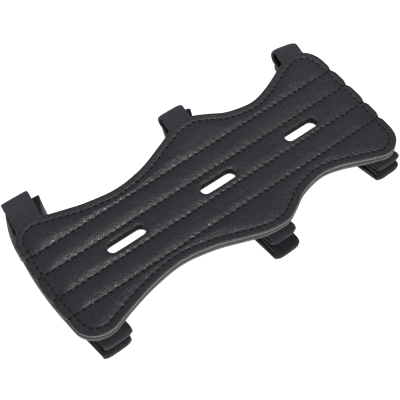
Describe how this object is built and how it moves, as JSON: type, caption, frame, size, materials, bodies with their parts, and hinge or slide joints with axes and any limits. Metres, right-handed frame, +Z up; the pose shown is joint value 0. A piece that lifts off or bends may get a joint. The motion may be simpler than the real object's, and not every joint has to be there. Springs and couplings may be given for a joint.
{
  "type": "archery arm guard",
  "caption": "Long three-lobed padded leather forearm guard with sewn lengthwise channels, narrow vent slots, a suede backing and elastic hook-and-loop straps folded under its edges",
  "frame": {"origin": "on the surface that the guard lies on, under the middle of its box", "axes": "+X along the forearm towards the wide end, +Y towards the far long edge, +Z up out of the leather face"},
  "size_m": [0.2172, 0.116, 0.0214],
  "materials": {
    "leather": "fine pebbled grain, satin, sewn into channels",
    "suede": "matt suede split with a pale cut edge",
    "elastic": "matt woven elastic",
    "hook_tape": "matt hook tape"
  },
  "bodies": {
    "root": {"face_panel": "leather", "backing": "suede", "strap_near_left": "elastic", "strap_near_middle": "elastic", "strap_near_right": "elastic", "strap_far_left": "elastic", "strap_far_middle": "elastic", "strap_far_right": "elastic", "hook_patch_left": "hook_tape", "hook_patch_middle": "hook_tape", "hook_patch_right": "hook_tape"}
  },
  "joints": []
}
